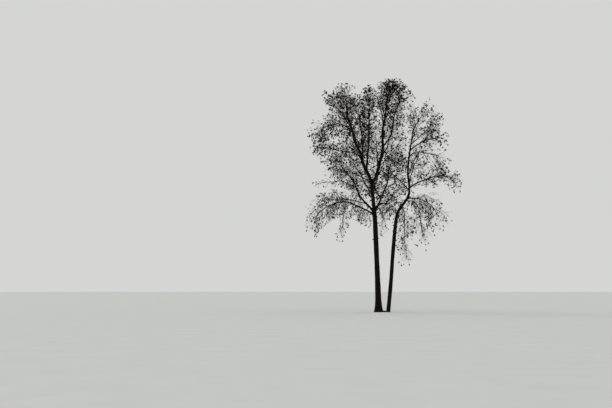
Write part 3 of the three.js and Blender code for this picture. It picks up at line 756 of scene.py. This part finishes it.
def bowed(twigs, bow, bends, rng):
    """The stations of twigs, which bow up where they hang and down where they climb, and zigzag a little."""
    heading, length = twigs["heading"], twigs["length"]
    t = np.linspace(0, 1, bends + 1)
    straight = twigs["place"][:, None] + heading[:, None] * (length[:, None] * t)[..., None]
    up = np.array([0, 0, 1.0]) - heading * heading[:, 2:]
    bend = (bow * length)[:, None, None] * up[:, None] * (4 * t * (1 - t))[None, :, None]
    loose = rng.normal(size=straight.shape)
    loose -= heading[:, None] * (loose * heading[:, None]).sum(axis=2, keepdims=True)
    free_ends = (t > 0)[None, :, None] * length[:, None, None] * ZIGZAG
    return np.clip(straight + bend + loose * free_ends, SOLID_LOW + BOX_MARGIN, SOLID_HIGH - BOX_MARGIN)


def along_twigs(twigs, carrier, share):
    """Places and directions at shares of the twigs that carry something."""
    last = twigs["points"].shape[1] - 1
    at = np.clip(share * last, 0, last - 1e-6)
    i = at.astype(int)
    start, end = twigs["points"][carrier, i], twigs["points"][carrier, i + 1]
    return start + (end - start) * (at - i)[:, None], unit(end - start)


def full_at(limb, twigs):
    """How full the limb is where its twigs grow."""
    return spread(FULLNESS[limb.name], twigs["outer"])


def square_to(directions):
    """Two sides square to each direction and to each other."""
    side = unit(np.cross(directions, ASKEW))
    return side, np.cross(directions, side)


def spots_along(limb, twigs, kind, rng):
    """Spots along twigs from a share of them on, turning round each twig from one to the next."""
    count = twigs["length"] * (1 - kind.first) / kind.spacing * np.minimum(1, full_at(limb, twigs))
    count = np.maximum(1, np.round(count)).astype(int)
    carrier = np.repeat(np.arange(len(count)), count)
    order = np.arange(count.sum()) - np.repeat(np.cumsum(count) - count, count)
    share = kind.first + (1 - kind.first) * (order + rng.uniform(*kind.stray, len(order))) / count[carrier]
    place, along = along_twigs(twigs, carrier, share)
    turn = (order * GOLDEN_TURN + carrier)[:, None]
    side, other = square_to(along)
    length = twigs["length"][carrier] * spread(kind.length, share) * rng.uniform(*kind.vary, len(share))
    taper = 1 - (1 - TIP_SHARE) * share
    return dict(
        outer=twigs["outer"][carrier],
        place=place,
        along=along,
        outwards=side * np.cos(turn) + other * np.sin(turn),
        lean=np.full(len(share), math.radians(kind.lean)),
        length=length,
        least=np.maximum(SHORTEST_TWIG * length, LEAST_TWIG),
        radius=np.minimum(kind.radius, kind.thinner * twigs["radius"][carrier] * taper),
    )


def grow_twigs(limb, rng):
    """A limb's shoots, the side twigs on them, and the twiglets on those."""
    main, finer = main_shoot_spots(limb), finer_shoot_spots(limb, rng)
    spots = {name: np.concatenate([main[name], finer[name]]) for name in main}
    shoots = grown(limb, spots, SHOOT, rng)
    side_twigs = grown(limb, spots_along(limb, shoots, SIDE_TWIGS, rng), SIDE_TWIGS, rng)
    twiglets = grown(limb, spots_along(limb, side_twigs, TWIGLETS, rng), TWIGLETS, rng)
    return shoots, side_twigs, twiglets


def twig_tubes(twigs, sides):
    """Corners and faces of twigs, each a tube of a few sides that ends in a point."""
    points = twigs["points"]
    count, stations = points.shape[:2]
    side, other = square_to(twigs["heading"])
    turns = np.arange(sides) * 2 * math.pi / sides
    round_it = side[:, None] * np.cos(turns)[None, :, None] + other[:, None] * np.sin(turns)[None, :, None]
    taper = 1 - (1 - TIP_SHARE) * np.linspace(0, 1, stations)[:-1]
    radius = twigs["radius"][:, None] * taper[None]
    rings = points[:, :-1, None] + round_it[:, None] * radius[..., None, None]
    each = (stations - 1) * sides + 1
    corners = np.concatenate([rings.reshape(count, -1, 3), points[:, -1:]], axis=1).reshape(-1, 3)
    starts = (np.arange(count) * each)[:, None, None]
    last_ring = (stations - 2) * sides + np.arange(sides)
    next_one = (stations - 2) * sides + (np.arange(sides) + 1) % sides
    point = np.stack([last_ring, next_one, np.full(sides, each - 1)], axis=1)
    faces = [(point[None] + starts).reshape(-1, 3)]
    if stations > 2:
        faces.append((tube_faces(stations - 1, sides)[None] + starts).reshape(-1, 4))
    return corners, faces, np.zeros(len(corners))


# Leaves


def leaves_on(limb, twiglets, rng):
    """Corners and faces of sprays of withered leaves at the ends of some twiglets, and each face's spray."""
    luck = rng.random(len(twiglets["length"]))
    chosen = np.flatnonzero(luck < SPRAYS.share * full_at(limb, twiglets))
    carrier = np.repeat(chosen, SPRAYS.leaves)
    count = len(carrier)
    at_the_tip = np.arange(count) % SPRAYS.leaves == 0
    share = np.where(at_the_tip, 1.0, rng.uniform(*SPRAYS.place, count))
    place, along = along_twigs(twiglets, carrier, share)
    turn = rng.uniform(0, 2 * math.pi, count)[:, None]
    side, other = square_to(along)
    outwards = side * np.cos(turn) + other * np.sin(turn)
    down = np.array([0, 0, -1]) * rng.uniform(*SPRAYS.droop, count)[:, None]
    heading = unit(along + SPRAYS.outwards * outwards + down)
    length = rng.uniform(*SPRAYS.length, count)[:, None]
    width = SPRAYS.width * length * rng.uniform(*SPRAYS.vary, count)[:, None] / 2
    fold = np.radians(rng.uniform(*SPRAYS.fold, count))[:, None]
    curl = rng.uniform(*SPRAYS.curl, count)[:, None]
    across = unit(np.cross(heading, outwards))
    above = np.cross(heading, across)

    def spot(forwards, sideways):
        lift = abs(sideways) * width * np.sin(fold) - curl * length * forwards**2
        flat = sideways * width * np.cos(fold)
        return place + heading * length * forwards + across * flat + above * lift

    corners = np.stack([spot(*at) for at in LEAF_OUTLINE], axis=1)
    inside = ((corners > SOLID_LOW) & (corners < SOLID_HIGH)).all(axis=(1, 2))
    corners = corners[inside]
    starts = (np.arange(len(corners)) * len(LEAF_OUTLINE))[:, None, None]
    faces = (np.array(LEAF_FACES)[None] + starts).reshape(-1, 3)
    spray = np.repeat((np.arange(count) // SPRAYS.leaves)[inside], len(LEAF_FACES))
    return corners.reshape(-1, 3), [faces], spray


# Finishes


def linear(code):
    """An sRGB hex colour as the linear colour that the shaders take."""
    parts = [int(code[i : i + 2], 16) / 255 for i in (1, 3, 5)]
    return (*(part / 12.92 if part <= 0.04045 else ((part + 0.055) / 1.055) ** 2.4 for part in parts), 1)


def set_inputs(tree, node, inputs):
    """Sets each input of a node to a value, or links it to a socket or to another node's first socket."""
    for name, value in dict(inputs).items():
        if isinstance(value, bpy.types.Node):
            value = value.outputs[0]
        if isinstance(value, bpy.types.NodeSocket):
            tree.links.new(value, node.inputs[name])
        else:
            node.inputs[name].default_value = value


def add_node(tree, kind, settings=(), inputs=()):
    """Adds a node with its settings and its inputs."""
    node = tree.nodes.new(kind)
    for name, value in dict(settings).items():
        if name == "stops":
            ramp = node.color_ramp.elements
            while len(ramp) < len(value):
                ramp.new(1)
            for element, (position, colour) in zip(ramp, value):
                element.position, element.color = position, linear(colour)
        else:
            setattr(node, name, value)
    set_inputs(tree, node, inputs)
    return node


def new_finish(name):
    """A plain material: its node tree, its main shader, and the places that its patterns are laid out on."""
    material = bpy.data.materials.new(name)
    material.use_nodes = True
    tree = material.node_tree
    shader = next(node for node in tree.nodes if node.type == "BSDF_PRINCIPLED")
    return material, tree, shader, add_node(tree, "ShaderNodeTexCoord").outputs["Object"]


# Years of dust and weather leave nearly no gloss on the bark.
DUSTY_BARK = {"IOR": 1.45, "Specular IOR Level": 0.15}
# painted shade: nearly black, laid into the fissures and cracks of the bark
FISSURE_COLOUR = "#0d0b0a"
CRACK_WANDER = (0.07, 0.07, 0.2)  # across the stem and along it
MIX_FIRST, MIX_SECOND, MIX_RESULT = 6, 7, 2  # the sockets of a mix node that take and give colours


def fissured_bark():
    """Thick bark of a hardwood, weathered for years on a dead tree and quite matt. Its charcoal brown is
    painted shade, the dark of a tree seen against bright light; paler worn faces on its plates vary it, and
    painted shade darkens the fissures and cracks between them to nearly black."""
    material, tree, shader, place = new_finish("fissured_bark_weathered")
    depth = add_node(tree, "ShaderNodeAttribute", {"attribute_name": "fissure"}).outputs["Fac"]
    # patches of about 250 mm where the bark is worn paler
    patches = add_node(tree, "ShaderNodeTexNoise", inputs={"Vector": place, "Scale": 4.0, "Detail": 4.0})
    # crumbs of about 8 mm on the plates
    crumbs = add_node(tree, "ShaderNodeTexNoise", inputs={"Vector": place, "Scale": 120.0, "Detail": 3.0})
    # narrow cracks that wander between upright strips about 18 mm wide and 110 mm long
    drift = add_node(tree, "ShaderNodeTexNoise", inputs={"Vector": place, "Scale": 9.0, "Detail": 2.0})
    wandering = add_node(
        tree,
        "ShaderNodeVectorMath",
        {"operation": "MULTIPLY_ADD"},
        {0: drift.outputs["Color"], 1: CRACK_WANDER, 2: place},
    )
    strips = add_node(tree, "ShaderNodeMapping", inputs={"Vector": wandering, "Scale": (55, 55, 9)})
    edges = add_node(
        tree, "ShaderNodeTexVoronoi", {"feature": "DISTANCE_TO_EDGE"}, {"Vector": strips, "Scale": 1.0}
    )
    cracks = add_node(
        tree, "ShaderNodeValToRGB", {"stops": [(0.02, "#ffffff"), (0.14, "#000000")]}, {"Fac": edges}
    )
    # painted shade: the plates' tones are kept near black, the dark of a tree seen against bright light
    plate = add_node(
        tree,
        "ShaderNodeValToRGB",
        {"stops": [(0.32, "#15120f"), (0.52, "#211d1a"), (0.72, "#36302a")]},
        {"Fac": patches},
    )
    crumbled = add_node(
        tree,
        "ShaderNodeMix",
        {"data_type": "RGBA", "blend_type": "OVERLAY"},
        {"Factor": 0.5, MIX_FIRST: plate, MIX_SECOND: crumbs.outputs["Color"]},
    )
    # painted shade: the cracks, then the fissures, are darkened to nearly black
    colour = crumbled
    for share in (cracks, depth):
        colour = add_node(
            tree,
            "ShaderNodeMix",
            {"data_type": "RGBA"},
            {"Factor": share, MIX_FIRST: colour.outputs[MIX_RESULT], MIX_SECOND: linear(FISSURE_COLOUR)},
        )
    crumbled_bump = add_node(
        tree, "ShaderNodeBump", inputs={"Strength": 0.7, "Distance": 0.003, "Height": crumbs}
    )
    bump = add_node(
        tree,
        "ShaderNodeBump",
        {"invert": True},
        {"Strength": 0.8, "Distance": 0.004, "Height": cracks, "Normal": crumbled_bump},
    )
    set_inputs(tree, shader, {"Roughness": 0.93, **DUSTY_BARK})
    set_inputs(tree, shader, {"Base Color": colour.outputs[MIX_RESULT], "Normal": bump})
    return material


def thin_bark():
    """Thin bark of boughs and limbs, still smooth when the tree died: dull, with blotches and small pores.
    Its dark brown is painted shade, the dark of a tree seen against bright light, and painted shade darkens
    its fissures to nearly black."""
    material, tree, shader, place = new_finish("thin_bark_dried")
    depth = add_node(tree, "ShaderNodeAttribute", {"attribute_name": "fissure"}).outputs["Fac"]
    # blotches of about 120 mm
    blotches = add_node(tree, "ShaderNodeTexNoise", inputs={"Vector": place, "Scale": 8.0, "Detail": 5.0})
    # painted shade: the blotches' tones are kept near black, the dark of a tree seen against bright light
    blotched = add_node(
        tree,
        "ShaderNodeValToRGB",
        {"stops": [(0.34, "#12100e"), (0.55, "#1c1916"), (0.75, "#2a2521")]},
        {"Fac": blotches},
    )
    # painted shade: the fissures are darkened to nearly black
    colour = add_node(
        tree,
        "ShaderNodeMix",
        {"data_type": "RGBA"},
        {"Factor": depth, MIX_FIRST: blotched, MIX_SECOND: linear("#11100e")},
    )
    # pores about 12 mm apart
    pores = add_node(tree, "ShaderNodeTexVoronoi", inputs={"Vector": place, "Scale": 85.0})
    bump = add_node(
        tree, "ShaderNodeBump", {"invert": True}, {"Strength": 0.4, "Distance": 0.0015, "Height": pores}
    )
    set_inputs(tree, shader, {"Roughness": 0.85, **DUSTY_BARK})
    set_inputs(tree, shader, {"Base Color": colour.outputs[MIX_RESULT], "Normal": bump})
    return material


def twig_bark():
    """Bark of dry twigs: matt, with a little grey on some of them; its nearly black brown is painted shade,
    the dark of a tree seen against bright light.
    """
    material, tree, shader, place = new_finish("twig_bark_dry")
    # one tone gives way to the next over about 300 mm, so neighbouring twigs differ
    tones = add_node(tree, "ShaderNodeTexNoise", inputs={"Vector": place, "Scale": 3.3, "Detail": 2.0})
    # painted shade: the twigs' tones are kept nearly black, the dark of a tree seen against bright light
    colour = add_node(
        tree, "ShaderNodeValToRGB", {"stops": [(0.35, "#110f0d"), (0.65, "#1e1a17")]}, {"Fac": tones}
    )
    # scars and buds of about 5 mm
    scars = add_node(tree, "ShaderNodeTexNoise", inputs={"Vector": place, "Scale": 200.0, "Detail": 1.0})
    bump = add_node(tree, "ShaderNodeBump", inputs={"Strength": 0.5, "Distance": 0.001, "Height": scars})
    set_inputs(tree, shader, {"Base Color": colour, "Normal": bump, "Roughness": 0.88, **DUSTY_BARK})
    return material


LEAF_TINTS = {"umber": "#2a1e15", "russet": "#38271a", "soot": "#1b1613"}
TINT_STEP, TINT_ROUND = 7, 11  # they deal the tints out to the sprays in an uneven order


def withered_leaf(tint):
    """A leaf that dried on its twig: dull brown, with a grain of shrunken veins."""
    material, tree, shader, place = new_finish(f"withered_leaf_{tint}")
    # wrinkles of about 9 mm between the veins
    wrinkles = add_node(tree, "ShaderNodeTexNoise", inputs={"Vector": place, "Scale": 110.0, "Detail": 3.0})
    bump = add_node(tree, "ShaderNodeBump", inputs={"Strength": 0.6, "Distance": 0.002, "Height": wrinkles})
    brown = linear(LEAF_TINTS[tint])
    set_inputs(tree, shader, {"Base Color": brown, "Normal": bump, "Roughness": 0.75, "IOR": 1.42})
    return material


def studio_floor():
    """Pale matt floor paint, rolled on."""
    material, tree, shader, place = new_finish("floor_paint_matt")
    roller = add_node(tree, "ShaderNodeTexNoise", inputs={"Vector": place, "Scale": 0.8, "Detail": 2.0})
    colour = add_node(
        tree, "ShaderNodeValToRGB", {"stops": [(0.3, "#d9dad8"), (0.7, "#dddedc")]}, {"Fac": roller}
    )
    set_inputs(tree, shader, {"Base Color": colour, "Roughness": 0.9})
    return material


# Pieces


def new_mesh(name, corners, faces):
    """A mesh from corners and from lots of faces, each lot with as many corners a face."""
    mesh = bpy.data.meshes.new(name)
    sizes = np.concatenate([np.full(len(lot), lot.shape[1]) for lot in faces])
    loops = np.concatenate([lot.ravel() for lot in faces])
    mesh.vertices.add(len(corners))
    mesh.vertices.foreach_set("co", corners.astype(np.float32).ravel())
    mesh.loops.add(len(loops))
    mesh.loops.foreach_set("vertex_index", loops.astype(np.int32))
    mesh.polygons.add(len(sizes))
    mesh.polygons.foreach_set("loop_start", (np.cumsum(sizes) - sizes).astype(np.int32))
    mesh.update(calc_edges=True)
    mesh.validate()
    return mesh


def add_piece(name, mesh, finishes, slot, nodes):
    """A piece of the tree, which stands for some of the solids."""
    for finish in finishes:
        mesh.materials.append(finish)
    piece = bpy.data.objects.new(name, mesh)
    bpy.context.scene.collection.objects.link(piece)
    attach(piece, "root")
    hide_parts(*nodes)
    return piece


def add_wood(name, wood, finish, slot, nodes):
    corners, faces, fissure = wood
    mesh = new_mesh(name, corners, faces)
    mesh.shade_smooth()
    mesh.attributes.new("fissure", "FLOAT", "POINT").data.foreach_set("value", fissure.astype(np.float32))
    return add_piece(name, mesh, [finish], slot, nodes)


def make_wood():
    thick, thin = fissured_bark(), thin_bark()
    for stem in stems:
        add_wood(f"{stem.name}_bark", stem_wood(stem), thick, "bark", [stem.name])
    for one in limbs:
        node, slot = (f"{one.name}_bough", "bark") if one.bough else (f"{one.name}_twigs", "twigs")
        add_wood(f"{one.name}_wood", limb_wood(one), thin, slot, [node])


def make_crown():
    bark = twig_bark()
    tints = [withered_leaf(tint) for tint in LEAF_TINTS]
    for group, members in LIMBS.items():
        nodes = [f"{one.name}_twigs" for one in members]
        twigs, leaves = [], []
        for one in members:
            rng = np.random.default_rng(one.number)
            lots = grow_twigs(one, rng)
            twigs += [twig_tubes(lot, kind.sides) for lot, kind in zip(lots, (SHOOT, SIDE_TWIGS, TWIGLETS))]
            leaves.append(leaves_on(one, lots[-1], rng))
        corners, faces, _ = joined(twigs)
        mesh = new_mesh(f"{group}_crown_twigs", corners, faces)
        mesh.shade_smooth()
        add_piece(mesh.name, mesh, [bark], "twigs", nodes)

        corners, faces, spray = joined(leaves)
        mesh = new_mesh(f"{group}_crown_leaves", corners, faces)
        dealt = spray * TINT_STEP % TINT_ROUND % len(tints)
        mesh.polygons.foreach_set("material_index", dealt.astype(np.int32))
        add_piece(mesh.name, mesh, tints, "twigs", nodes)


# Studio


def make_studio():
    scene = bpy.context.scene
    camera = bpy.data.objects.new("camera", bpy.data.cameras.new("camera"))
    camera.location = CAMERA_PLACE
    camera.rotation_euler = (math.radians(90 + CAMERA_TILT), 0, 0)
    camera.data.lens = LENS_MM
    camera.data.sensor_width = SENSOR_MM
    camera.data.clip_end = FURTHEST_SEEN
    scene.collection.objects.link(camera)
    scene.camera = camera
    scene.view_settings.view_transform = "Standard"

    # the light of a bright even ceiling and walls all round
    world = bpy.data.worlds.new("studio")
    world.use_nodes = True
    background = world.node_tree.nodes["Background"]
    background.inputs["Color"].default_value = linear(ROOM_COLOUR)
    background.inputs["Strength"].default_value = 1.0
    scene.world = world

    lamp = bpy.data.objects.new("soft_lamp", bpy.data.lights.new("soft_lamp", "SUN"))
    lamp.data.energy = LAMP.strength
    lamp.data.angle = math.radians(LAMP.spread)
    lamp.rotation_euler = Vector(LAMP.stands).to_track_quat("Z", "Y").to_euler()
    scene.collection.objects.link(lamp)

    bpy.ops.mesh.primitive_circle_add(vertices=FLOOR_CORNERS, radius=FLOOR_RADIUS, fill_type="NGON")
    floor = bpy.context.active_object
    floor.name = "floor"
    floor.data.materials.append(studio_floor())
    floor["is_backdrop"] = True


make_studio()
make_wood()
make_crown()

box = {"cad": [list(SOLID_LOW), list(SOLID_HIGH)], "visual": [list(corner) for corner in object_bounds()]}
